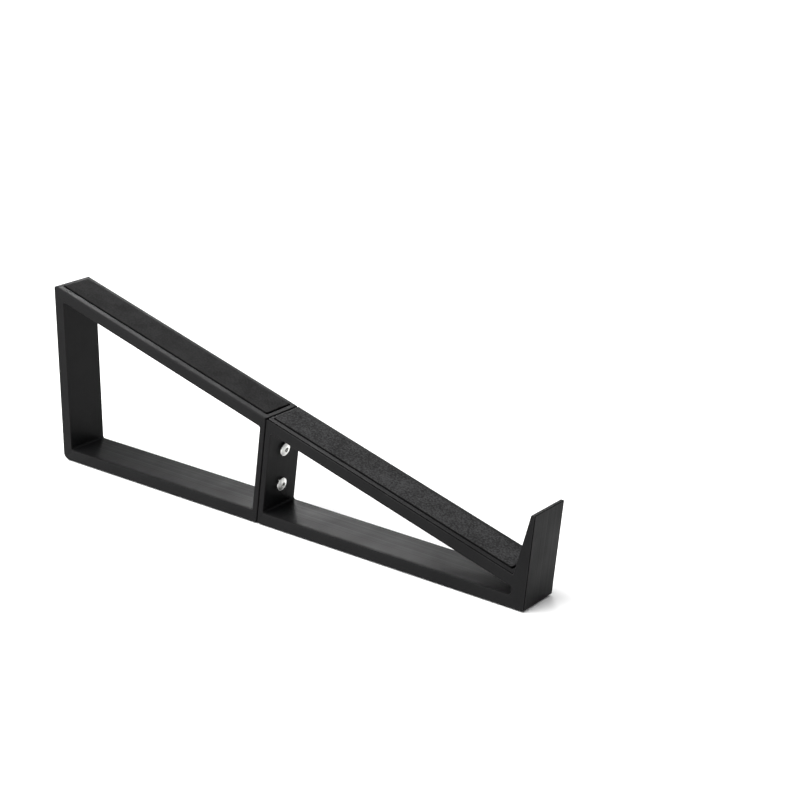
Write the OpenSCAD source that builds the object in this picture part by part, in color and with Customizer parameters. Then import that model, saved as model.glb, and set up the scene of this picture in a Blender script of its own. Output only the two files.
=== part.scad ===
// Wedge-shaped desk bracket: a trapezoid rear frame and a triangular front frame with an
// upturned lip, butted at a leaning joint and held by two socket screws and nuts.
// Anti-slip pads lie in recesses along the sloping top, a little towards +Y, and thin strips
// line the underside.
// Two of these brackets, side by side, carry one flat device at an angle.
//
// Frame: +X runs from the rear upright to the lip, +Y across the width, +Z up.
// The origin is at the middle of the length and width, at the level the bracket stands on.

/* [Overall] */
// Length of the underside, from the rear face to the foot of the lip
stand_l = 317; // [260:1:400]
// Width of both frames
stand_w = 25; // [20:0.5:36]
// Height of the rear upper corner above the underside
rear_h = 102.8; // [80:0.1:130]
// Height of the sloping top above the underside, carried on to the foot of the lip
front_h = 15.8; // [13:0.1:24]

/* [Frame walls] */
// Thickness of the rear upright
rear_t = 6.5; // [4:0.1:10]
// Thickness of the bar along the underside
base_t = 6.6; // [4.5:0.1:8]
// Thickness of the sloping bar, square to the slope
bar_t = 6.2; // [4.5:0.1:7.5]
// Solid length ahead of the front opening, along the underside
nose_t = 7.1; // [5:0.1:14]
// Radius of the inner corners of both openings
inner_r = 1.3; // [0.5:0.1:2.5]
// Radius of the two corners at the front opening's low end, at most
tip_r = 2; // [0.5:0.1:4]

/* [Outer corners] */
// Radius of the lower rear corner
low_rear_r = 3.4; // [1:0.1:5]
// Radius of the upper rear corner
high_rear_r = 1.1; // [0.9:0.1:3]
// Radius of the front frame's upper corner at the joint
joint_top_r = 0.9; // [0.8:0.1:1.8]
// Radius of every other outer corner
small_r = 0.9; // [0.7:0.1:1.2]
// Chamfer along the edges of both side faces
edge = 0.6; // [0.3:0.1:0.7]
// Wider chamfer along the upper edges of the rear frame
top_edge = 0.8; // [0.6:0.1:1.6]

/* [Joint] */
// Distance of the joint from the rear face, along the underside
joint_x = 147.4; // [110:0.1:190]
// Thickness of the rear frame's upright at the joint
rear_joint_t = 3.5; // [2.5:0.1:5]
// Thickness of the front frame's upright at the joint
front_joint_t = 3.6; // [2.5:0.1:5]
// Distance between the two screws
screw_pitch = 20.4; // [14:0.1:25]
// How far the middle of the two screws lies above the middle of the clear height
screw_rise = 0.8; // [-3:0.1:3]
// Turn of the upper screw's hexagon socket, in degrees
upper_turn = 26; // [0:1:59]
// Turn of the lower screw's hexagon socket, in degrees
lower_turn = 13; // [0:1:59]

/* [Lip] */
// Height of the lip above the underside
lip_h = 50.7; // [38:0.1:70]
// Forward lean of the lip's outer face, in degrees
lip_lean = 5.7; // [0:0.1:8]
// Thickness of the lip at its upper edge
lip_top_t = 2.1; // [1.75:0.05:4]
// Radius of the two corners of the lip's upper edge
lip_top_r = 0.4; // [0.2:0.1:0.7]
// Radius of the hollow corner where the lip rises from the slope
crease_r = 0.5; // [0.2:0.1:2]

/* [Pads] */
// Width of the rim beside each upper recess, on the -Y side
near_rim = 3.8; // [2.5:0.1:5]
// Width of the rim beside each upper recess, on the +Y side
far_rim = 2.1; // [1.8:0.1:5]
// Length of the rim at the rear recess's upper end and at the front recess's lower end
pad_end_rim = 3.1; // [2.8:0.1:6]
// Length of the rim between the rear recess and the joint
rear_joint_rim = 2.7; // [2:0.1:5]
// Length of the rim between the joint and the front recess
front_joint_rim = 1.8; // [1.8:0.1:5]
// Depth of the recesses for the upper pads
pad_recess = 1.3; // [0.8:0.1:2]
// How far the rear upper pad stands above the slope
rear_pad_rise = 0.2; // [0.1:0.1:1.5]
// How far the front upper pad stands above the slope
front_pad_rise = 0.2; // [0.1:0.1:1.5]
// Gap beside each upper pad in its recess, on the -Y side and at the lower end
pad_gap = 1.1; // [0.3:0.1:1.5]
// Gap beside each upper pad on the +Y side and at the upper end
pad_fit = 0.1; // [0.05:0.05:0.4]
// Corner radius of the upper pads and their recesses
pad_r = 1; // [0.3:0.1:3]
// Thickness of the strips under the base
foot_t = 0.8; // [0.5:0.1:3]
// Distance of the strips under the base from the side faces
foot_rim = 2.2; // [1.5:0.1:5]
// Distance of the strips from the joint and from the rear corner's curve
foot_end_rim = 2.5; // [1.5:0.1:8]

/* [Screws] */
// Diameter of the screw thread
screw_d = 4; // [3:0.5:5]
// Length of the screw under its head
screw_l = 12; // [11:1:16]
// Clearance of the screw in the holes of both frames, on the diameter
hole_clearance = 0.5; // [0.2:0.1:0.8]
// Clearance of the screw in its nut, on the diameter
nut_clearance = 0.1; // [0.06:0.02:0.16]

/* [Hidden] */
// Fall of the sloping top, in degrees
slope = atan((rear_h - front_h) / stand_l);
// The joint leans by half the slope, so it meets the top and the underside alike
joint_lean = slope / 2;
// Height of the sloping bar square to the underside
bar_h = bar_t / cos(slope);
// Low round head of the screw: diameter, height and height of its straight side
head_d = 1.83 * screw_d;
head_h = 0.55 * screw_d;
head_side = 0.25 * screw_d;
// Hexagon socket: width across flats and depth
socket_across = 0.625 * screw_d;
socket_h = 0.36 * screw_d;
// Hexagon nut: width across flats, height and the angle of its corner chamfers
nut_across = 1.75 * screw_d;
nut_h = 0.8 * screw_d;
nut_bevel = 30;
// Chamfer at the end of the screw
screw_tip = 0.15 * screw_d;
// Half the nut's width across corners
nut_r = nut_across / 2 / cos(30);
hex = 6;
// Clear height of the front frame's upright, along the joint, and the screws placed by it
clear_low = base_t / cos(joint_lean);
clear_high = joint_meets(front_joint_t, bar_h).y / cos(joint_lean);
screw_mid = (clear_low + clear_high) / 2 + screw_rise;
// Lip: upper front corner, and the inner face square to the slope
lip_front = [stand_l + lip_h * tan(lip_lean), lip_h];
lip_back = lip_front - [lip_top_t, 0];
overall_l = lip_front.x;
// Segments in each rounded corner
arc_steps = 8;
// Thickness of the layers that a chamfered cut is stretched between
layer = 0.02;
// How far a cutter runs past the face that it cuts
over = 1;
$fn = 64;

// Height of the sloping top, and of the sloping bar's underside, at a distance from the rear
function top_z(x) = rear_h - x * tan(slope);
function under_z(x) = top_z(x) - bar_h;

// Where a line beside the joint, off by a distance, meets the underside plus a height
function joint_at(off, z) = [joint_x + off / cos(joint_lean) + z * tan(joint_lean), z];

// Where that line meets the sloping top, lowered by a drop
function joint_meets(off, drop) =
    let (x0 = joint_at(off, 0).x)
    joint_at(off, (rear_h - drop - x0 * tan(slope)) / (1 + tan(joint_lean) * tan(slope)));

// The lip's inner face at a height, and where the sloping top meets it
function lip_back_at(z) = [lip_back.x - (lip_h - z) * tan(slope), z];
crease = lip_back_at(top_z(lip_back_at(0).x) / (1 + tan(slope) * tan(slope)));

// The low end of the front opening, and the radius of its two corners within its height
nose_x = stand_l - nose_t;
nose_h = under_z(nose_x) - base_t;
nose_r = min(tip_r, 0.45 * nose_h);

// The points of an outline whose corners are rounded, each by its own radius
function unit(v) = v / norm(v);
function half_turn(a) = a > 180 ? a - 360 : a < -180 ? a + 360 : a;
function corner(a, b, c, r) =
    let (
        u = unit(a - b),
        v = unit(c - b),
        half = acos(u * v) / 2,
        centre = b + unit(u + v) * r / sin(half),
        from = b + u * r / tan(half) - centre,
        to = b + v * r / tan(half) - centre,
        start = atan2(from.y, from.x),
        turn = half_turn(atan2(to.y, to.x) - start)
    )
    [for (i = [0:arc_steps]) let (t = start + turn * i / arc_steps) centre + r * [cos(t), sin(t)]];
function rounded(points, radii) =
    let (n = len(points))
    [for (i = [0:n - 1])
        each corner(points[(i + n - 1) % n], points[i], points[(i + 1) % n], radii[i])];

rear_corners = [[0, 0], joint_at(0, 0), joint_meets(0, 0), [0, rear_h]];
rear_outline = rounded(rear_corners, [low_rear_r, small_r, small_r, high_rear_r]);
rear_opening = rounded(
    [[rear_t, base_t], joint_at(-rear_joint_t, base_t),
        joint_meets(-rear_joint_t, bar_h), [rear_t, under_z(rear_t)]],
    [inner_r, inner_r, inner_r, inner_r]);
front_corners = [joint_at(0, 0), [stand_l, 0], lip_front, lip_back, crease, joint_meets(0, 0)];
front_outline = rounded(front_corners, [small_r, small_r, lip_top_r, lip_top_r, crease_r, joint_top_r]);
front_opening = rounded(
    [joint_at(front_joint_t, base_t), [nose_x, base_t], [nose_x, under_z(nose_x)],
        joint_meets(front_joint_t, bar_h)],
    [inner_r, nose_r, nose_r, inner_r]);

// Moves what is drawn from the rear lower corner to the bracket's own origin
module placed() {
    translate([-overall_l / 2, 0, foot_t]) children();
}

// Stands a flat outline up in the XZ plane and makes it a slab across the width
module slab(width) {
    rotate([90, 0, 0]) linear_extrude(height = width, center = true) children();
}

// Takes the edge off both side faces along a straight stretch of outline, from a to b
module edge_cut(a, b, bite, past_a, past_b) {
    run = b - a;
    width = sqrt(2) * bite;
    for (side = [-1, 1]) translate([a.x, side * stand_w / 2, a.y])
        rotate([0, -atan2(run.y, run.x), 0]) rotate([45, 0, 0])
            translate([-past_a, -width / 2, -width / 2])
                cube([norm(run) + past_a + past_b, width, width]);
}

// Does so along each stretch of an outline, each cut running past its corners or short of them
module edge_cuts(corners, bites, past) {
    n = len(corners);
    for (i = [0:n - 1]) let (j = (i + 1) % n)
        edge_cut(corners[i], corners[j], bites[i], past[i], past[j]);
}

// Cuts an outline through the width, and chamfers its edge on both side faces
module bevelled_cut(outline) {
    slab(stand_w + 2 * over) polygon(outline);
    for (side = [-1, 1]) hull() {
        translate([0, side * stand_w / 2, 0]) slab(layer) offset(delta = edge) polygon(outline);
        translate([0, side * (stand_w / 2 - edge), 0]) slab(layer) polygon(outline);
    }
}

// Puts what is drawn on the sloping top: +X runs down the slope and +Z stands square to it
module on_slope(x) {
    translate([x, 0, top_z(x)]) rotate([0, slope, 0]) children();
}

// Puts what is drawn on the joint, a distance up it: +Z runs along the screw to its head
module on_joint(up) {
    translate([joint_x + up * sin(joint_lean), 0, up * cos(joint_lean)])
        rotate([0, 90 + joint_lean, 0]) children();
}

// A flat plate with round corners, its length along +X
module plate(length, width, thick, r) {
    points = [[0, -width / 2], [length, -width / 2], [length, width / 2], [0, width / 2]];
    linear_extrude(height = thick) polygon(rounded(points, [r, r, r, r]));
}

// The stretch of slope that each upper recess takes, as its start and its length
rear_pad_x = pad_end_rim;
rear_pad_l = (joint_meets(0, 0).x - rear_pad_x) / cos(slope) - rear_joint_rim;
front_pad_x = joint_meets(0, 0).x + front_joint_rim * cos(slope);
front_pad_l = (crease.x - front_pad_x) / cos(slope) - pad_end_rim;
// Width of the recesses and of the pads, and how far each one's middle lies towards +Y
recess_w = stand_w - near_rim - far_rim;
recess_mid = (near_rim - far_rim) / 2;
pad_w = recess_w - pad_gap - pad_fit;
pad_mid = recess_mid + (pad_gap - pad_fit) / 2;

module pad_recess_cut(x, length) {
    on_slope(x) translate([0, recess_mid, -pad_recess])
        plate(length, recess_w, pad_recess + over, pad_r);
}

module top_pad(x, length, rise) {
    placed() on_slope(x) translate([pad_fit, pad_mid, -pad_recess])
        plate(length - pad_fit - pad_gap, pad_w, pad_recess + rise, pad_r);
}

module foot_strip(x, length) {
    placed() translate([x, 0, -foot_t]) plate(length, stand_w - 2 * foot_rim, foot_t, pad_r);
}

module screw_holes() {
    for (side = [-1, 1]) on_joint(screw_mid + side * screw_pitch / 2)
        translate([0, 0, -rear_joint_t - over])
            cylinder(h = rear_joint_t + front_joint_t + 2 * over, d = screw_d + hole_clearance);
}

// Socket screw along +Z, its head's seat at the height given
module socket_screw(seat, turn) {
    crown = head_h - head_side;
    dome_r = (head_d * head_d / 4 + crown * crown) / 2 / crown;
    difference() {
        union() {
            intersection() {
                translate([0, 0, seat + head_h - dome_r]) sphere(r = dome_r);
                translate([0, 0, seat]) cylinder(h = head_h, d = head_d);
            }
            translate([0, 0, seat - screw_l + screw_tip])
                cylinder(h = screw_l - screw_tip + head_side, d = screw_d);
            translate([0, 0, seat - screw_l])
                cylinder(h = screw_tip, d1 = screw_d - 2 * screw_tip, d2 = screw_d);
        }
        translate([0, 0, seat + head_h - socket_h]) rotate([0, 0, -turn])
            cylinder(h = socket_h + over, d = socket_across / cos(30), $fn = hex);
    }
}

// Hexagon nut along +Z, its seat at the height given and its body below
module hex_nut(seat) {
    flat_r = nut_across / 2;
    wide_r = flat_r + nut_h / tan(nut_bevel);
    difference() {
        translate([0, 0, seat - nut_h]) intersection() {
            cylinder(h = nut_h, r = nut_r, $fn = hex);
            cylinder(h = nut_h, r1 = flat_r, r2 = wide_r);
            cylinder(h = nut_h, r1 = wide_r, r2 = flat_r);
        }
        translate([0, 0, seat - nut_h - over])
            cylinder(h = nut_h + 2 * over, d = screw_d + nut_clearance);
    }
}

module rear_frame() {
    color("#262628") placed() difference() {
        slab(stand_w) polygon(rear_outline);
        edge_cuts(rear_corners, [edge, edge, top_edge, edge], [over, over, over, over]);
        bevelled_cut(rear_opening);
        pad_recess_cut(rear_pad_x, rear_pad_l);
        screw_holes();
    }
}

module front_frame() {
    color("#262628") placed() difference() {
        slab(stand_w) polygon(front_outline);
        edge_cuts(front_corners, [edge, edge, edge, edge, edge, edge],
            [over, over, over, over, -over, over]);
        bevelled_cut(front_opening);
        pad_recess_cut(front_pad_x, front_pad_l);
        screw_holes();
    }
}

module rear_top_pad() {
    color("#37373a") top_pad(rear_pad_x, rear_pad_l, rear_pad_rise);
}

module front_top_pad() {
    color("#3a3a3d") top_pad(front_pad_x, front_pad_l, front_pad_rise);
}

module rear_foot_strip() {
    start = low_rear_r + foot_end_rim;
    color("#303032") foot_strip(start, joint_x - foot_end_rim - start);
}

module front_foot_strip() {
    start = joint_x + foot_end_rim;
    color("#303032") foot_strip(start, stand_l - small_r - start);
}

module screw(side, turn) {
    color("#d8d8d4") placed() on_joint(screw_mid + side * screw_pitch / 2)
        socket_screw(front_joint_t, turn);
}

module nut(side) {
    color("#c4c4c0") placed() on_joint(screw_mid + side * screw_pitch / 2)
        hex_nut(-rear_joint_t);
}

module upper_screw() screw(1, upper_turn);
module lower_screw() screw(-1, lower_turn);
module upper_nut() nut(1);
module lower_nut() nut(-1);

rear_frame();
front_frame();
rear_top_pad();
front_top_pad();
rear_foot_strip();
front_foot_strip();
upper_screw();
lower_screw();
upper_nut();
lower_nut();
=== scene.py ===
"""The looks of the wedge desk stand bracket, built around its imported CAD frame."""

import math

import bmesh
import bpy
from mathutils import Matrix, Vector


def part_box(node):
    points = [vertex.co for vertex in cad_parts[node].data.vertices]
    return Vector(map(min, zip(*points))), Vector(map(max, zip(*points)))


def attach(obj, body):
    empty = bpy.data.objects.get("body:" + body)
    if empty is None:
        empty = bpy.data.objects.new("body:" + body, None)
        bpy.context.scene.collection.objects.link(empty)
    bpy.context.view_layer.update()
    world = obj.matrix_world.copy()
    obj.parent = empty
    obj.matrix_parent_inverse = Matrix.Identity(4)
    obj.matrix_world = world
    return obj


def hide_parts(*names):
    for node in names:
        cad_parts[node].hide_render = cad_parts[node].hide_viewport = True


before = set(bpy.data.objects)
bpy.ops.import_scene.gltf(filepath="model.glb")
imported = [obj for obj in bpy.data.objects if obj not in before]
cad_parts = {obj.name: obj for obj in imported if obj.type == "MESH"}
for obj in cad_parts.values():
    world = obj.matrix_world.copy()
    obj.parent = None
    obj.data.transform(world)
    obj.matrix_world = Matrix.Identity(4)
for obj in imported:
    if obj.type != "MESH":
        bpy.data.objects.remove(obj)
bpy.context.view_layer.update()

MM = 0.001
ROOT = "root"

# ---------------------------------------------------------------- sizes, in millimetres
# The driving sizes of the CAD part. X is counted from the rear face and Z from the underside.
STAND_L = 317.0
REAR_H = 102.8
FRONT_H = 15.8
REAR_T = 6.5
BASE_T = 6.6
BAR_T = 6.2
NOSE_T = 7.1
INNER_R = 1.3
TIP_R = 2.0
LOW_REAR_R = 3.4
HIGH_REAR_R = 1.1
JOINT_TOP_R = 0.9
SMALL_R = 0.9
JOINT_X = 147.4
REAR_JOINT_T = 3.5
FRONT_JOINT_T = 3.6
SCREW_PITCH = 20.4
SCREW_RISE = 0.8
LIP_H = 50.7
LIP_LEAN = math.radians(5.7)
LIP_TOP_T = 2.1
LIP_TOP_R = 0.4
CREASE_R = 0.5
NEAR_RIM = 3.8
FAR_RIM = 2.1
PAD_END_RIM = 3.1
REAR_JOINT_RIM = 2.7
FRONT_JOINT_RIM = 1.8
PAD_RECESS = 1.3
PAD_RISE = 0.2
PAD_GAP = 1.1
PAD_FIT = 0.1
PAD_R = 1.0
SCREW_D = 4.0
SCREW_L = 12.0
HOLE_D = 4.5
HEAD_D = 7.32
HEAD_H = 2.2
HEAD_SIDE = 1.0
SOCKET_ACROSS = 2.5
SOCKET_H = 1.44

FILLET_STEPS = 5
ARC_STEPS = 8
CROWN_STEPS = 15
HEAD_SEGMENTS = 64
HOLE_SEGMENTS = 32
THREAD_SEGMENTS = 40
THREAD_RINGS_A_TURN = 8


def rounding(depth, width):
    """The steps of a rounded edge, each as (how far below the outline's surface, how far in from
    the side face), from the surface to the side face."""
    turns = [math.pi / 2 * i / FILLET_STEPS for i in range(FILLET_STEPS + 1)]
    return [(depth * (1 - math.cos(t)), width * (1 - math.sin(t))) for t in turns]


# Fine shapes that the CAD part leaves plain, in millimetres. A frame's edges are given for the
# -Y side, where the joint opens into a narrow slot, and the front frame's top and the outside of
# its lip have a fine score line beside the edge. Every edge of the +Y side is the far one.
PLAIN_EDGE = rounding(0.15, 0.15)
FAR_EDGE = rounding(0.1, 0.1)
LIP_EDGE = [(0, 0.8), (0.04, 0.75), (0.5, 0.72), (0.5, 0.12), (0.06, 0.09), (0.1, 0)]
REAR_TOP_EDGE = rounding(0.8, 0.9)
BASE_EDGE = rounding(0.4, 2.5)
JOINT_EDGE = [(0, 4.0), (0.2, 3.8), (0.28, 2.4), (0.3, 1.0), (0.34, 0.3), (0.6, 0)]
SCORED_EDGE = [(0, 1.25), (0.05, 1.2), (0.8, 1.15), (0.8, 0.35), (0.06, 0.3), (0.15, 0)]
MOUTH_FILLET = 0.15
PAD_FILLET = 0.3
# The slot of the score groove's walls, a near black that is painted shade.
GROOVE_SHADE_SLOT = 2
THREAD_PITCH = 0.7
THREAD_DEPTH = 0.33
THREAD_TOP = -5.0
SHANK_END = -6.0
HEAD_EDGE_R = 0.55
SEAT_CHAMFER = 0.12
SCREW_TIP = 0.6
SOCKET_POINT_R = 0.1
SOCKET_POINT_H = 0.25
CUT_OVER = 1.0
SMALLEST_R = 0.04
HEX = math.pi / 3

# Worked out from the sizes above
HALF_W = (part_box("rear_frame")[1].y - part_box("rear_frame")[0].y) / 2 / MM
REAR_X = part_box("rear_frame")[0].x
BASE_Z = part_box("rear_frame")[0].z
SLOPE = math.atan((REAR_H - FRONT_H) / STAND_L)
JOINT_LEAN = SLOPE / 2
BAR_H = BAR_T / math.cos(SLOPE)


def place(x, y, z):
    """A point, given in millimetres from the bracket's rear lower edge, in the CAD frame."""
    return Vector((REAR_X + x * MM, y * MM, BASE_Z + z * MM))


def top_z(x):
    return REAR_H - x * math.tan(SLOPE)


def joint_at(off, z):
    """A point at a height on the line beside the joint, off by a distance."""
    return Vector((JOINT_X + off / math.cos(JOINT_LEAN) + z * math.tan(JOINT_LEAN), z))


def joint_meets(off, drop):
    """Where that line meets the sloping top, lowered by a drop."""
    start = joint_at(off, 0).x
    grade = math.tan(SLOPE)
    return joint_at(off, (REAR_H - drop - start * grade) / (1 + math.tan(JOINT_LEAN) * grade))


lip_front = Vector((STAND_L + LIP_H * math.tan(LIP_LEAN), LIP_H))
lip_back = lip_front - Vector((LIP_TOP_T, 0))


def lip_back_at(z):
    return Vector((lip_back.x - (LIP_H - z) * math.tan(SLOPE), z))


crease = lip_back_at(top_z(lip_back_at(0).x) / (1 + math.tan(SLOPE) ** 2))
nose_x = STAND_L - NOSE_T
nose_h = top_z(nose_x) - BAR_H - BASE_T
nose_r = min(TIP_R, 0.45 * nose_h)


# ---------------------------------------------------------------- outlines
def inset(corners, depths):
    """The corners of a counter-clockwise outline whose sides have each moved inwards."""
    lines = []
    for i, a in enumerate(corners):
        run = (corners[(i + 1) % len(corners)] - a).normalized()
        inward = Vector((-run.y, run.x))
        lines.append((a + inward * depths[i], run))
    moved = []
    for i in range(len(corners)):
        (p, u), (q, v) = lines[i - 1], lines[i]
        share = (q - p).cross(v) / u.cross(v)
        moved.append(p + u * share)
    return moved


def arc_corner(a, b, c, radius):
    """The points that round the corner b, on the way from a to c."""
    u, v = (a - b).normalized(), (c - b).normalized()
    half = u.angle(v) / 2
    centre = b + (u + v).normalized() * radius / math.sin(half)
    first = b + u * radius / math.tan(half) - centre
    last = b + v * radius / math.tan(half) - centre
    start = math.atan2(first.y, first.x)
    turn = (math.atan2(last.y, last.x) - start + math.pi) % (2 * math.pi) - math.pi
    angles = [start + turn * i / ARC_STEPS for i in range(ARC_STEPS + 1)]
    return [centre + radius * Vector((math.cos(t), math.sin(t))) for t in angles]


def turns_left(a, b, c):
    return (b - a).cross(c - b) > 0


def profile_ring(corners, radii, edges, step, side, hole):
    """One ring between an outline's surface (step 0) and a side face (the last step).

    Each side of the outline has its own edge. A hole's rings grow instead of shrinking."""
    n = len(corners)
    sign = -1 if hole else 1
    depths = [edge[step][0] for edge in edges]
    moved = inset(corners, [sign * d for d in depths])
    points = []
    for i in range(n):
        a, b, c = moved[i - 1], moved[i], moved[(i + 1) % n]
        depth = (depths[i - 1] + depths[i]) / 2
        convex = turns_left(corners[i - 1], corners[i], corners[(i + 1) % n])
        shrink = sign if convex else -sign
        radius = max(radii[i] - shrink * depth, SMALLEST_R)
        arc = arc_corner(a, b, c, radius)
        for j, p in enumerate(arc):
            t = j / ARC_STEPS
            width = edges[i - 1][step][1] * (1 - t) + edges[i][step][1] * t
            points.append(place(p.x, side * (HALF_W - width), p.y))
    return points


def plate_ring(half_l, half_w, radius, grow, height):
    """A rectangle with round corners, grown on each side: a ring of (along, across, up)."""
    x, y, r = half_l + grow, half_w + grow, max(radius + grow, SMALLEST_R)
    ring = []
    for i, (sx, sy) in enumerate([(-1, -1), (1, -1), (1, 1), (-1, 1)]):
        for j in range(ARC_STEPS + 1):
            t = math.pi * (1 + i / 2 + j / ARC_STEPS / 2)
            ring.append((sx * (x - r) + r * math.cos(t), sy * (y - r) + r * math.sin(t), height))
    return ring


# ---------------------------------------------------------------- meshes
class Shell:
    """A closed mesh made of rings that are bridged, filled and capped."""

    def __init__(self):
        self.mesh = bmesh.new()
        self.run = self.mesh.verts.layers.float_vector.new("run")

    def ring(self, points):
        """Adds a ring, and notes twice the angle at which it runs in the XZ plane at each point."""
        ring = [self.mesh.verts.new(p) for p in points]
        for i, v in enumerate(ring):
            way = ring[(i + 1) % len(ring)].co - ring[i - 1].co
            angle = 2 * math.atan2(way.z, way.x)
            v[self.run] = (math.cos(angle), math.sin(angle), 0)
        return ring

    def bridge(self, a, b, skip=(), slot=0, scored=()):
        """Joins two rings, but for the segments to skip. The scored ones take the third slot, a
        near black that is painted shade inside the score groove.
        """
        for i in range(len(a)):
            if i in skip:
                continue
            j = (i + 1) % len(a)
            face = self.mesh.faces.new((a[i], a[j], b[j], b[i]))
            face.material_index = GROOVE_SHADE_SLOT if i in scored else slot

    def fill(self, *loops, slot=0):
        """Fills the flat space between an outer loop and any holes in it."""
        edges = []
        for loop in loops:
            for i, v in enumerate(loop):
                pair = (v, loop[(i + 1) % len(loop)])
                edges.append(self.mesh.edges.get(pair) or self.mesh.edges.new(pair))
        made = bmesh.ops.triangle_fill(
            self.mesh, use_beauty=True, use_dissolve=False, edges=edges)
        for f in made["geom"]:
            if isinstance(f, bmesh.types.BMFace):
                f.material_index = slot

    def cap(self, loop, slot=0):
        self.mesh.faces.new(loop).material_index = slot

    def piece(self, name, materials, sharp=35.0):
        """Makes the object, smooth except at edges sharper than an angle in degrees."""
        bmesh.ops.recalc_face_normals(self.mesh, faces=self.mesh.faces)
        for e in self.mesh.edges:
            if e.is_manifold:
                e.smooth = e.calc_face_angle() < math.radians(sharp)
        for f in self.mesh.faces:
            f.smooth = True
        data = bpy.data.meshes.new(name)
        self.mesh.to_mesh(data)
        self.mesh.free()
        for m in materials:
            data.materials.append(m)
        piece = bpy.data.objects.new(name, data)
        bpy.context.scene.collection.objects.link(piece)
        normals = piece.modifiers.new("even_normals", "WEIGHTED_NORMAL")
        normals.keep_sharp = True
        normals.weight = 100
        return piece


def stands_for(piece, node):
    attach(piece, ROOT)
    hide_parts(node)


def frame_shell(outer, opening, panels):
    """A frame's closed shell: an outline with an opening through it, both with rounded edges.

    outer and opening are (corners, radii, edges). panels maps a side's number, of the outline
    or the opening, to the hole loops that are cut in it."""
    shell = Shell()
    steps = range(FILLET_STEPS + 1)
    faces = {}
    for which, (corners, radii, near_edges) in (("outer", outer), ("opening", opening)):
        rings = []
        for side in (-1, 1):
            edges = near_edges if side < 0 else [FAR_EDGE] * len(corners)
            for step in (reversed(steps) if side < 0 else steps):
                points = profile_ring(corners, radii, edges, step, side, which == "opening")
                rings.append(shell.ring(points))
        middle = FILLET_STEPS
        cut = {k[1]: loops for k, loops in panels.items() if k[0] == which}
        segment = [(number + 1) * (ARC_STEPS + 1) - 1 for number in range(len(corners))]
        # The score groove's walls, which take the painted shade.
        lines = [segment[number] for number, edge in enumerate(near_edges)
                 if edge in (SCORED_EDGE, LIP_EDGE)]
        for i in range(len(rings) - 1):
            skip = [segment[number] for number in cut] if i == middle else ()
            shell.bridge(rings[i], rings[i + 1], skip, slot=1 if i in (0, len(rings) - 2) else 0,
                         scored=lines if 0 < i < middle - 1 else ())
        near, far = rings[middle], rings[middle + 1]
        for number, loops in cut.items():
            i = segment[number]
            j = (i + 1) % len(near)
            holes = [shell.ring(points) for points in loops]
            shell.fill([near[i], near[j], far[j], far[i]], *holes)
            faces[(which, number)] = holes
        faces[which] = (rings[0], rings[-1])
    for end in (0, 1):
        shell.fill(faces["outer"][end], faces["opening"][end], slot=1)
    return shell, faces


def slope_frame(x, length, middle_y):
    """A function that turns (along, across, up) into a place.

    They count from the middle of a stretch of the sloping top, from x and so long."""
    run = Vector((math.cos(SLOPE), -math.sin(SLOPE)))
    rise = Vector((math.sin(SLOPE), math.cos(SLOPE)))
    middle = Vector((x, top_z(x))) + run * length / 2

    def to_place(p):
        at = middle + run * p[0] + rise * p[2]
        return place(at.x, middle_y + p[1], at.y)

    return to_place


def recess_rings(x, length):
    """The rings of a pad's recess, from its rounded mouth down to its floor."""
    to_place = slope_frame(x, length, (NEAR_RIM - FAR_RIM) / 2)
    half_l, half_w = length / 2, HALF_W - (NEAR_RIM + FAR_RIM) / 2
    rings = []
    for i in range(FILLET_STEPS + 1):
        t = math.pi / 2 * i / FILLET_STEPS
        grow = MOUTH_FILLET * (1 - math.sin(t))
        rings.append((grow, -MOUTH_FILLET * (1 - math.cos(t))))
    rings.append((0, -PAD_RECESS))
    return [[to_place(p) for p in plate_ring(half_l, half_w, PAD_R, g, h)] for g, h in rings]


def hole_ring(off, up):
    """A screw hole's edge on the plane beside the joint, off by a distance."""
    points = []
    for i in range(HOLE_SEGMENTS):
        t = 2 * math.pi * i / HOLE_SEGMENTS
        along = up + HOLE_D / 2 * math.cos(t)
        x = JOINT_X + along * math.sin(JOINT_LEAN) + off * math.cos(JOINT_LEAN)
        z = along * math.cos(JOINT_LEAN) - off * math.sin(JOINT_LEAN)
        points.append(place(x, HOLE_D / 2 * math.sin(t), z))
    return points


# The screws' places along the joint
clear_low = BASE_T / math.cos(JOINT_LEAN)
clear_high = joint_meets(FRONT_JOINT_T, BAR_H).y / math.cos(JOINT_LEAN)
screw_mid = (clear_low + clear_high) / 2 + SCREW_RISE
screw_ups = {"upper": screw_mid + SCREW_PITCH / 2, "lower": screw_mid - SCREW_PITCH / 2}

# The stretches of slope that the recesses take
joint_top = joint_meets(0, 0)
rear_pad_x = PAD_END_RIM
rear_pad_l = (joint_top.x - rear_pad_x) / math.cos(SLOPE) - REAR_JOINT_RIM
front_pad_x = joint_top.x + FRONT_JOINT_RIM * math.cos(SLOPE)
front_pad_l = (crease.x - front_pad_x) / math.cos(SLOPE) - PAD_END_RIM


def build_frame(name, outer, opening, top_side, joint_side, opening_side, thick, recess):
    """One frame with its recess and its two screw holes. The sides are numbered by outline."""
    loops = recess_rings(*recess)
    outer_holes = [hole_ring(0, up) for up in screw_ups.values()]
    inner_holes = [hole_ring(thick, up) for up in screw_ups.values()]
    panels = {
        ("outer", top_side): [loops[0]],
        ("outer", joint_side): outer_holes,
        ("opening", opening_side): inner_holes,
    }
    shell, faces = frame_shell(outer, opening, panels)
    last = faces[("outer", top_side)][0]
    for points in loops[1:]:
        ring = shell.ring(points)
        shell.bridge(last, ring)
        last = ring
    shell.cap(last)
    pairs = zip(faces[("outer", joint_side)], faces[("opening", opening_side)])
    for near, far in pairs:
        shell.bridge(near, far)
    # The third material is painted shade in the score groove.
    piece = shell.piece(name, [profile_plastic, face_plastic, painted_groove_shade])
    stands_for(piece, name)


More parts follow.
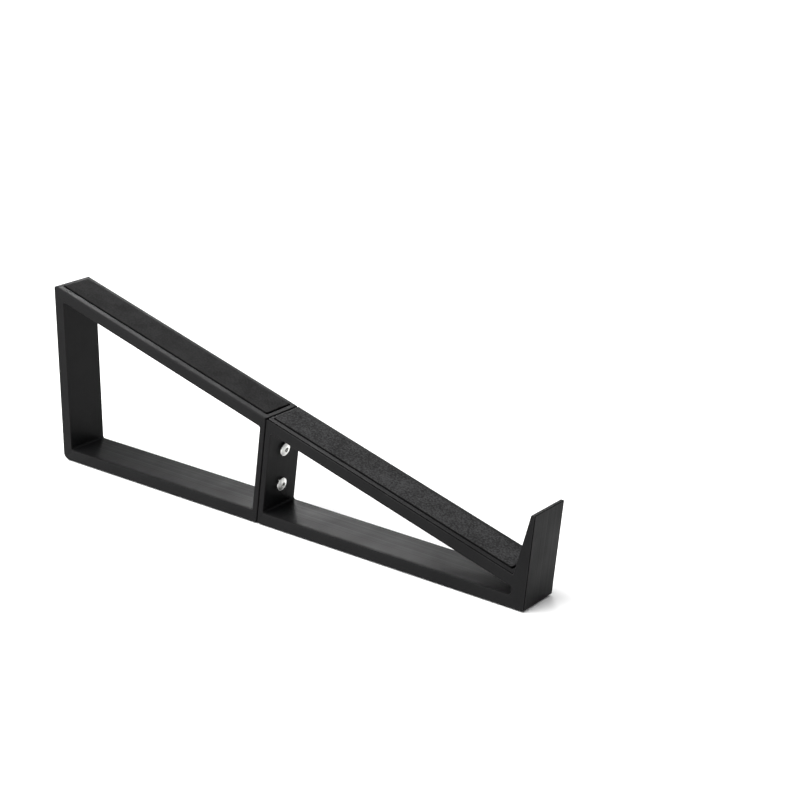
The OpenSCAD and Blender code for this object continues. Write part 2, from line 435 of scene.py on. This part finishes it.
def build_rear_frame():
    outer = (
        [Vector((0, 0)), joint_at(0, 0), joint_top, Vector((0, REAR_H))],
        [LOW_REAR_R, SMALL_R, SMALL_R, HIGH_REAR_R],
        [PLAIN_EDGE, JOINT_EDGE, REAR_TOP_EDGE, PLAIN_EDGE],
    )
    opening = (
        [Vector((REAR_T, BASE_T)), joint_at(-REAR_JOINT_T, BASE_T),
         joint_meets(-REAR_JOINT_T, BAR_H), Vector((REAR_T, top_z(REAR_T) - BAR_H))],
        [INNER_R] * 4,
        [BASE_EDGE] + [PLAIN_EDGE] * 3,
    )
    build_frame("rear_frame", outer, opening, top_side=2, joint_side=1, opening_side=1,
                thick=-REAR_JOINT_T, recess=(rear_pad_x, rear_pad_l))


def build_front_frame():
    outer = (
        [joint_at(0, 0), Vector((STAND_L, 0)), lip_front, lip_back, crease, joint_top],
        [SMALL_R, SMALL_R, LIP_TOP_R, LIP_TOP_R, CREASE_R, JOINT_TOP_R],
        [PLAIN_EDGE, LIP_EDGE, PLAIN_EDGE, PLAIN_EDGE, SCORED_EDGE, JOINT_EDGE],
    )
    opening = (
        [joint_at(FRONT_JOINT_T, BASE_T), Vector((nose_x, BASE_T)),
         Vector((nose_x, BASE_T + nose_h)), joint_meets(FRONT_JOINT_T, BAR_H)],
        [INNER_R, nose_r, nose_r, INNER_R],
        [BASE_EDGE] + [PLAIN_EDGE] * 3,
    )
    build_frame("front_frame", outer, opening, top_side=4, joint_side=5, opening_side=3,
                thick=FRONT_JOINT_T, recess=(front_pad_x, front_pad_l))


def build_pad(name, x, length, materials):
    """A pad in its recess, pushed up to the recess's upper end and +Y side.

    Its top takes the first material, and its cut edges the second, a darker rubber that is painted
    shade in the gap round the pad."""
    gaps = (PAD_GAP + PAD_FIT) / 2
    aside = (PAD_GAP - PAD_FIT) / 2
    to_place = slope_frame(x, length - 2 * aside, (NEAR_RIM - FAR_RIM) / 2 + aside)
    half_l, half_w = length / 2 - gaps, HALF_W - (NEAR_RIM + FAR_RIM) / 2 - gaps
    shell = Shell()
    last = shell.ring([to_place(p) for p in plate_ring(half_l, half_w, PAD_R, 0, -PAD_RECESS)])
    shell.cap(last, slot=1)
    for i in range(FILLET_STEPS + 1):
        t = math.pi / 2 * i / FILLET_STEPS
        grow = -PAD_FILLET * (1 - math.cos(t))
        height = PAD_RISE - PAD_FILLET * (1 - math.sin(t))
        ring = shell.ring([to_place(p) for p in plate_ring(half_l, half_w, PAD_R, grow, height)])
        shell.bridge(last, ring, slot=1 if i < FILLET_STEPS - 1 else 0)
        last = ring
    shell.cap(last)
    piece = shell.piece(name, materials)
    stands_for(piece, name)


def build_strip(name, material):
    """A thin strip under the base, with rounded lower edges."""
    low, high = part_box(name)
    middle = (low + high) / 2
    half = (high - low) / 2 / MM
    shell = Shell()
    last = None
    steps = [(0, 2 * half.z)] + [
        (-PAD_FILLET * (1 - math.cos(t)), PAD_FILLET * (1 - math.sin(t)))
        for t in (math.pi / 2 * i / FILLET_STEPS for i in range(FILLET_STEPS + 1))]
    for grow, height in steps:
        points = [Vector((middle.x + p[0] * MM, p[1] * MM, low.z + p[2] * MM))
                  for p in plate_ring(half.x, half.y, PAD_R, grow, height)]
        ring = shell.ring(points)
        if last is None:
            shell.cap(ring)
        else:
            shell.bridge(last, ring)
        last = ring
    shell.cap(last)
    piece = shell.piece(name, [material])
    stands_for(piece, name)


def lathe(shell, outline, segments, crown):
    """Turns (radius, height) points about the axis, from a first to a last point that are capped.

    The first few of them, the crown, take the first material, and the rest the second, which on the
    screw is a darker steel painted as shade."""
    last = None
    for k, (radius, height) in enumerate(outline):
        ring = shell.ring([
            Vector((radius * math.cos(2 * math.pi * i / segments),
                    radius * math.sin(2 * math.pi * i / segments), height)) * MM
            for i in range(segments)])
        if last is None:
            shell.cap(ring)
        else:
            shell.bridge(last, ring, slot=0 if k < crown else 1)
        last = ring
    shell.cap(last, slot=1)


def head_outline():
    """The head's half outline, from the middle of its crown round its edge to the shank."""
    crown = HEAD_H - HEAD_SIDE
    dome = (HEAD_D ** 2 / 4 + crown ** 2) / 2 / crown
    reach = math.asin((HEAD_D / 2 - HEAD_EDGE_R * 0.6) / dome)
    points = []
    for i in range(CROWN_STEPS):
        t = reach * (0.02 + 0.98 * i / (CROWN_STEPS - 1))
        points.append((dome * math.sin(t), HEAD_H - dome + dome * math.cos(t)))
    turn = math.pi / 2 - reach
    centre = Vector((HEAD_D / 2 - HEAD_EDGE_R, HEAD_SIDE - HEAD_EDGE_R * 0.25))
    for i in range(1, 5):
        t = turn * (1 - i / 4)
        points.append((centre.x + HEAD_EDGE_R * math.cos(t), centre.y + HEAD_EDGE_R * math.sin(t)))
    points += [(HEAD_D / 2, SEAT_CHAMFER), (HEAD_D / 2 - SEAT_CHAMFER, 0),
               (SCREW_D / 2, 0), (SCREW_D / 2, SHANK_END)]
    return points


def socket_cutter(turn):
    """The hexagon socket as a solid to cut away, with a shallow cone at its bottom. Its faces take
    the darker steel, painted shade inside the socket.
    """
    shell = Shell()
    radius = SOCKET_ACROSS / 2 / math.cos(HEX / 2)
    floor = HEAD_H - SOCKET_H
    last = None
    for r, height in ((SOCKET_POINT_R, floor - SOCKET_POINT_H), (radius, floor),
                      (radius, HEAD_H + CUT_OVER)):
        ring = shell.ring([
            Vector((r * math.cos(HEX * i - turn), r * math.sin(HEX * i - turn), height)) * MM
            for i in range(6)])
        if last is None:
            shell.cap(ring, slot=1)
        else:
            shell.bridge(last, ring, slot=1)
        last = ring
    shell.cap(last, slot=1)
    return shell


def thread_rings():
    """The rings of the thread: a ridge that climbs one pitch a turn, faded at the screw's end."""
    bottom, top = -SCREW_L, THREAD_TOP
    count = round((top - bottom) / THREAD_PITCH * THREAD_RINGS_A_TURN)
    rings = []
    for k in range(count + 1):
        height = bottom + (top - bottom) * k / count
        ring = []
        for i in range(THREAD_SEGMENTS):
            t = 2 * math.pi * i / THREAD_SEGMENTS
            phase = (height / THREAD_PITCH - i / THREAD_SEGMENTS) % 1.0
            ridge = SCREW_D / 2 - THREAD_DEPTH * (1 - abs(2 * phase - 1))
            r = min(ridge, SCREW_D / 2 - SCREW_TIP + (height - bottom))
            ring.append(Vector((r * math.cos(t), r * math.sin(t), height)) * MM)
        rings.append(ring)
    return rings


def build_screw(name, up, turn, materials):
    """A socket screw with a round head and a real thread, its seat on the front upright."""
    shell = Shell()
    lathe(shell, head_outline(), HEAD_SEGMENTS, CROWN_STEPS)
    head = shell.piece(name, materials)
    cutter = socket_cutter(turn).piece(name + "_cutter", materials)
    cut = head.modifiers.new("socket", "BOOLEAN")
    cut.object = cutter
    cut.solver = "EXACT"
    head.modifiers.remove(head.modifiers["even_normals"])
    bpy.context.view_layer.update()
    shaped = bpy.data.meshes.new_from_object(
        head.evaluated_get(bpy.context.evaluated_depsgraph_get()))
    bpy.data.objects.remove(cutter)
    bpy.data.objects.remove(head)

    both = Shell()
    both.mesh.from_mesh(shaped)
    last = None
    for points in thread_rings():
        ring = both.ring(points)
        if last is None:
            both.cap(ring)
        else:
            both.bridge(last, ring)
        last = ring
    both.cap(last)
    seat = Matrix.Translation((0, 0, FRONT_JOINT_T * MM))
    both.mesh.transform(joint_matrix(up) @ seat)
    piece = both.piece(name, materials, sharp=32.0)
    stands_for(piece, name)


def joint_matrix(up):
    """The screw's own axes in the CAD frame: Z along it towards the lip, X down the joint."""
    lean = JOINT_LEAN
    axis = Vector((math.cos(lean), 0, -math.sin(lean)))
    down = Vector((-math.sin(lean), 0, -math.cos(lean)))
    across = axis.cross(down)
    origin = place(JOINT_X + up * math.sin(lean), 0, up * math.cos(lean))
    m = Matrix.Identity(4)
    for i, v in enumerate((down, across, axis, origin)):
        for row in range(3):
            m[row][i] = v[row]
    return m


# ---------------------------------------------------------------- materials
def new_material(name, base, roughness, specular=0.5, metallic=0.0):
    """A Principled material, and a helper that adds and links nodes to it."""
    m = bpy.data.materials.new(name)
    m.use_nodes = True
    tree = m.node_tree
    shader = tree.nodes["Principled BSDF"]
    shader.inputs["Base Color"].default_value = (*base, 1)
    shader.inputs["Roughness"].default_value = roughness
    shader.inputs["Specular IOR Level"].default_value = specular
    shader.inputs["Metallic"].default_value = metallic

    def add(kind, **settings):
        node = tree.nodes.new(kind)
        for key, value in settings.items():
            if hasattr(node, key):
                setattr(node, key, value)
            else:
                node.inputs[key.replace("_", " ").title()].default_value = value
        return node

    return m, tree, shader, add


def ramp_between(tree, add, fac, low, high):
    """Colours between two greys, driven by a noise value."""
    mix = add("ShaderNodeMix", data_type="RGBA")
    mix.inputs["A"].default_value = (*low, 1)
    mix.inputs["B"].default_value = (*high, 1)
    tree.links.new(fac, mix.inputs["Factor"])
    return mix.outputs["Result"]


def map_range(tree, add, value, from_low, from_high, low, high):
    node = add("ShaderNodeMapRange")
    for key, number in (("From Min", from_low), ("From Max", from_high),
                        ("To Min", low), ("To Max", high)):
        node.inputs[key].default_value = number
    tree.links.new(value, node.inputs["Value"])
    return node.outputs["Result"]


def add_bump(tree, add, shader, height, strength, distance, under=None):
    bump = add("ShaderNodeBump")
    bump.inputs["Strength"].default_value = strength
    bump.inputs["Distance"].default_value = distance
    tree.links.new(height, bump.inputs["Height"])
    if under is not None:
        tree.links.new(under, bump.inputs["Normal"])
    tree.links.new(bump.outputs["Normal"], shader.inputs["Normal"])
    return bump.outputs["Normal"]


def painted_edge_highlight(tree, add, colour, uneven):
    """Makes a colour a little lighter, unevenly, along the edges: a painted highlight where the
    edges catch light.
    """
    bevel = add("ShaderNodeBevel", samples=4)
    bevel.inputs["Radius"].default_value = 0.0003
    flat = add("ShaderNodeNewGeometry")
    along = add("ShaderNodeVectorMath", operation="DOT_PRODUCT")
    tree.links.new(bevel.outputs["Normal"], along.inputs[0])
    tree.links.new(flat.outputs["Normal"], along.inputs[1])
    edge = map_range(tree, add, along.outputs["Value"], 0.98, 0.85, 0.0, 1.0)
    patchy = map_range(tree, add, uneven, 0.35, 0.65, 0.2, 1.0)
    amount = add("ShaderNodeMath", operation="MULTIPLY")
    tree.links.new(edge, amount.inputs[0])
    tree.links.new(patchy, amount.inputs[1])
    mix = add("ShaderNodeMix", data_type="RGBA")
    # The colour of the painted highlight along the edges.
    mix.inputs["B"].default_value = (0.03, 0.03, 0.031, 1)
    tree.links.new(colour, mix.inputs["A"])
    tree.links.new(amount.outputs[0], mix.inputs["Factor"])
    return mix.outputs["Result"]


def make_profile_plastic():
    """Black plastic in fine layers across the width, with lines along the profile."""
    m, tree, shader, add = new_material(
        "layered_plastic", (0.005, 0.005, 0.0053), 0.42, specular=0.095)
    shader.inputs["Anisotropic"].default_value = 0.75
    place_node = add("ShaderNodeTexCoord")
    parts = add("ShaderNodeSeparateXYZ")
    tree.links.new(place_node.outputs["Object"], parts.inputs[0])
    lines = add("ShaderNodeTexNoise", noise_dimensions="1D", Scale=2400.0, Detail=3.0)
    tree.links.new(parts.outputs["Y"], lines.inputs["W"])
    bands = add("ShaderNodeTexNoise", noise_dimensions="1D", Scale=800.0, Detail=3.0)
    tree.links.new(parts.outputs["Y"], bands.inputs["W"])
    blotch = add("ShaderNodeTexNoise", Scale=60.0, Detail=3.0)
    tree.links.new(place_node.outputs["Object"], blotch.inputs["Vector"])
    colour = ramp_between(tree, add, bands.outputs["Fac"], (0.003, 0.003, 0.0033),
                          (0.007, 0.007, 0.0073))
    # The edges get a painted highlight.
    tree.links.new(painted_edge_highlight(tree, add, colour, blotch.outputs["Fac"]),
                   shader.inputs["Base Color"])
    uneven = add("ShaderNodeMix", data_type="FLOAT")
    uneven.inputs["Factor"].default_value = 0.35
    tree.links.new(bands.outputs["Fac"], uneven.inputs["A"])
    tree.links.new(blotch.outputs["Fac"], uneven.inputs["B"])
    rough = map_range(tree, add, uneven.outputs["Result"], 0.36, 0.64, 0.36, 0.52)
    tree.links.new(rough, shader.inputs["Roughness"])
    tangent = add("ShaderNodeCombineXYZ")
    tangent.inputs["Y"].default_value = 1.0
    tree.links.new(tangent.outputs[0], shader.inputs["Tangent"])
    under = add_bump(tree, add, shader, bands.outputs["Fac"], 0.2, 0.0001)
    add_bump(tree, add, shader, lines.outputs["Fac"], 0.2, 0.00005, under)
    return m


def make_face_plastic():
    """The same plastic on the side faces, in fine lines that follow the frame's outline."""
    m, tree, shader, add = new_material(
        "face_plastic", (0.005, 0.005, 0.0053), 0.5, specular=0.095)
    shader.inputs["Anisotropic"].default_value = 0.75
    run = add("ShaderNodeAttribute", attribute_name="run")
    parts = add("ShaderNodeSeparateXYZ")
    tree.links.new(run.outputs["Vector"], parts.inputs[0])

    def math_node(operation, *values):
        node = add("ShaderNodeMath", operation=operation)
        for i, value in enumerate(values):
            if isinstance(value, float):
                node.inputs[i].default_value = value
            else:
                tree.links.new(value, node.inputs[i])
        return node.outputs[0]

    angle = math_node("MULTIPLY", math_node("ARCTAN2", parts.outputs["Y"], parts.outputs["X"]), 0.5)
    across = add("ShaderNodeCombineXYZ")
    tree.links.new(math_node("MULTIPLY", math_node("SINE", angle), -1.0), across.inputs["X"])
    tree.links.new(math_node("COSINE", angle), across.inputs["Z"])
    tree.links.new(across.outputs[0], shader.inputs["Tangent"])
    place_node = add("ShaderNodeTexCoord")
    depth = add("ShaderNodeVectorMath", operation="DOT_PRODUCT")
    tree.links.new(place_node.outputs["Object"], depth.inputs[0])
    tree.links.new(across.outputs[0], depth.inputs[1])
    lines = add("ShaderNodeTexNoise", noise_dimensions="1D", Scale=1900.0, Detail=2.0)
    tree.links.new(depth.outputs["Value"], lines.inputs["W"])
    blotch = add("ShaderNodeTexNoise", Scale=45.0, Detail=3.0)
    tree.links.new(place_node.outputs["Object"], blotch.inputs["Vector"])
    grain = add("ShaderNodeTexNoise", Scale=1500.0, Detail=3.0)
    tree.links.new(place_node.outputs["Object"], grain.inputs["Vector"])
    colour = ramp_between(tree, add, blotch.outputs["Fac"], (0.003, 0.003, 0.0033),
                          (0.008, 0.008, 0.0083))
    # The edges get a painted highlight.
    tree.links.new(painted_edge_highlight(tree, add, colour, blotch.outputs["Fac"]),
                   shader.inputs["Base Color"])
    uneven = add("ShaderNodeMix", data_type="FLOAT")
    uneven.inputs["Factor"].default_value = 0.5
    tree.links.new(lines.outputs["Fac"], uneven.inputs["A"])
    tree.links.new(grain.outputs["Fac"], uneven.inputs["B"])
    rough = map_range(tree, add, uneven.outputs["Result"], 0.36, 0.64, 0.4, 0.6)
    tree.links.new(rough, shader.inputs["Roughness"])
    under = add_bump(tree, add, shader, lines.outputs["Fac"], 0.15, 0.00005)
    add_bump(tree, add, shader, grain.outputs["Fac"], 0.2, 0.00005, under)
    return m


def make_rubber(name, dark, light, grain_size, mottle):
    """Matte rubber with a fine grain of lighter and darker specks, and soft mottling."""
    m, tree, shader, add = new_material(name, dark, 0.85, specular=0.14)
    place_node = add("ShaderNodeTexCoord")
    grain = add("ShaderNodeTexNoise", Scale=1.0 / (grain_size * MM), Detail=2.0, Roughness=0.6)
    tree.links.new(place_node.outputs["Object"], grain.inputs["Vector"])
    cloud = add("ShaderNodeTexNoise", Scale=90.0, Detail=3.0)
    tree.links.new(place_node.outputs["Object"], cloud.inputs["Vector"])
    both = add("ShaderNodeMix", data_type="FLOAT")
    both.inputs["Factor"].default_value = mottle
    tree.links.new(grain.outputs["Fac"], both.inputs["A"])
    tree.links.new(cloud.outputs["Fac"], both.inputs["B"])
    spread = map_range(tree, add, both.outputs["Result"], 0.4, 0.6, 0.0, 1.0)
    tree.links.new(ramp_between(tree, add, spread, dark, light), shader.inputs["Base Color"])
    rough = map_range(tree, add, grain.outputs["Fac"], 0.3, 0.7, 0.75, 0.95)
    tree.links.new(rough, shader.inputs["Roughness"])
    add_bump(tree, add, shader, grain.outputs["Fac"], 0.5, 0.0001)
    return m


def make_steel(name, tint, roughness):
    """Bright zinc-plated steel with faint smudges."""
    m, tree, shader, add = new_material(name, tint, roughness, metallic=1.0)
    place_node = add("ShaderNodeTexCoord")
    smudge = add("ShaderNodeTexNoise", Scale=700.0, Detail=4.0)
    tree.links.new(place_node.outputs["Object"], smudge.inputs["Vector"])
    light = tuple(min(1.0, c * 1.08) for c in tint)
    dull = tuple(c * 0.86 for c in tint)
    tree.links.new(ramp_between(tree, add, smudge.outputs["Fac"], dull, light),
                   shader.inputs["Base Color"])
    rough = map_range(tree, add, smudge.outputs["Fac"], 0.3, 0.7, roughness * 0.75, roughness * 1.3)
    tree.links.new(rough, shader.inputs["Roughness"])
    add_bump(tree, add, shader, smudge.outputs["Fac"], 0.15, 0.00003)
    return m


profile_plastic = make_profile_plastic()
face_plastic = make_face_plastic()
rear_rubber = make_rubber(
    "rear_pad_rubber", (0.001, 0.001, 0.0011), (0.015, 0.015, 0.0155), 0.8, 0.25)
front_rubber = make_rubber(
    "front_pad_rubber", (0.003, 0.003, 0.0032), (0.034, 0.034, 0.035), 0.9, 0.2)
# The pads' cut edges: a darker rubber, painted shade in the gap round each pad.
edge_painted_shade = make_rubber(
    "pad_edge_painted_shade", (0.001, 0.001, 0.0011), (0.005, 0.005, 0.0052), 0.8, 0.3)
# Near black on the score groove's walls: painted shade where the groove is in shadow.
painted_groove_shade = make_rubber(
    "painted_groove_shade", (0.001, 0.001, 0.001), (0.002, 0.002, 0.002), 0.9, 0.4)
foot_rubber = make_rubber(
    "foot_rubber", (0.01, 0.01, 0.0105), (0.02, 0.02, 0.021), 0.5, 0.4)
crown_steel = make_steel("screw_crown_steel", (0.9, 0.9, 0.88), 0.48)
# Darker, shinier steel on the head's rim and side, under it, on the shank and in the socket: the
# shine is the finish, the darkness is painted shade.
side_steel_painted_shade = make_steel("screw_side_painted_shade", (0.6, 0.6, 0.59), 0.14)
nut_steel = make_steel("nut_steel", (0.7, 0.7, 0.68), 0.3)

# ---------------------------------------------------------------- the pieces
build_rear_frame()
build_front_frame()
# Each pad's second material is painted shade on its cut edges.
build_pad("rear_top_pad", rear_pad_x, rear_pad_l, [rear_rubber, edge_painted_shade])
build_pad("front_top_pad", front_pad_x, front_pad_l, [front_rubber, edge_painted_shade])
build_strip("rear_foot_strip", foot_rubber)
build_strip("front_foot_strip", foot_rubber)
# The head's side and socket take the darker steel: painted shade.
for which, degrees in (("upper", 26), ("lower", 13)):
    build_screw(which + "_screw", screw_ups[which], math.radians(degrees),
                [crown_steel, side_steel_painted_shade])
for which in ("upper", "lower"):
    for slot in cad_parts[which + "_nut"].material_slots:
        slot.material = nut_steel

# ---------------------------------------------------------------- stage, light and camera
LIGHT_DISTANCE = 2.5
FLOOR_REACH = 8.0
WORLD_STRENGTH = 0.3
CAMERA_PLACE = (0.5987, -0.6831, 0.3970)
CAMERA_TURN = math.radians(37.66)
CAMERA_DROP = math.radians(19.85)
CAMERA_ROLL = math.radians(0.394)
CAMERA_LENS = 84.24
CAMERA_SENSOR = 36.0


def build_floor():
    shell = Shell()
    corners = ((-1, -1), (1, -1), (1, 1), (-1, 1))
    shell.cap(shell.ring([Vector((x, y, 0)) * FLOOR_REACH for x, y in corners]))
    pale = new_material("pale_floor", (0.95, 0.95, 0.95), 0.9, specular=0.1)[0]
    floor = shell.piece("floor", [pale])


def add_light(name, azimuth, elevation, width, height, watts):
    """A soft light, aimed at the bracket from a direction in degrees."""
    a, e = math.radians(azimuth), math.radians(elevation)
    way = Vector((math.cos(a) * math.cos(e), math.sin(a) * math.cos(e), math.sin(e)))
    data = bpy.data.lights.new(name, "AREA")
    data.shape = "RECTANGLE"
    data.size = width
    data.size_y = height
    data.energy = watts
    light = bpy.data.objects.new(name, data)
    aim = way.to_track_quat("Z", "Y").to_matrix().to_4x4()
    light.matrix_world = Matrix.Translation(way * LIGHT_DISTANCE) @ aim
    light.visible_camera = False
    bpy.context.scene.collection.objects.link(light)


def set_world():
    world = bpy.data.worlds.new("studio")
    world.use_nodes = True
    background = world.node_tree.nodes["Background"]
    background.inputs["Color"].default_value = (1, 1, 1, 1)
    background.inputs["Strength"].default_value = WORLD_STRENGTH
    bpy.context.scene.world = world


def add_camera():
    """The photograph's view: a long lens, from the front right and a little above."""
    data = bpy.data.cameras.new("camera")
    data.sensor_width = CAMERA_SENSOR
    data.lens = CAMERA_LENS
    camera = bpy.data.objects.new("camera", data)
    aim = (Matrix.Rotation(CAMERA_TURN, 4, "Z")
           @ Matrix.Rotation(math.pi / 2 - CAMERA_DROP, 4, "X"))
    camera.matrix_world = (Matrix.Translation(CAMERA_PLACE) @ aim
                           @ Matrix.Rotation(CAMERA_ROLL, 4, "Z"))
    bpy.context.scene.collection.objects.link(camera)
    bpy.context.scene.camera = camera


build_floor()
set_world()
# Each light's direction in degrees, then its width and height in metres, then its watts
for light in (
        ("back_high", 121, 42, 0.76, 0.36, 14.5),
        ("back_middle", 131, 26, 0.3, 0.3, 9.0),
        ("back_low", 124, 6, 0.3, 0.3, 1.5),
        ("left_key", -120, 55, 2.4, 2.4, 112),
        ("top", 0, 82, 2.0, 2.0, 22)):
    add_light(*light)
add_camera()
bpy.context.scene.view_settings.view_transform = "Standard"
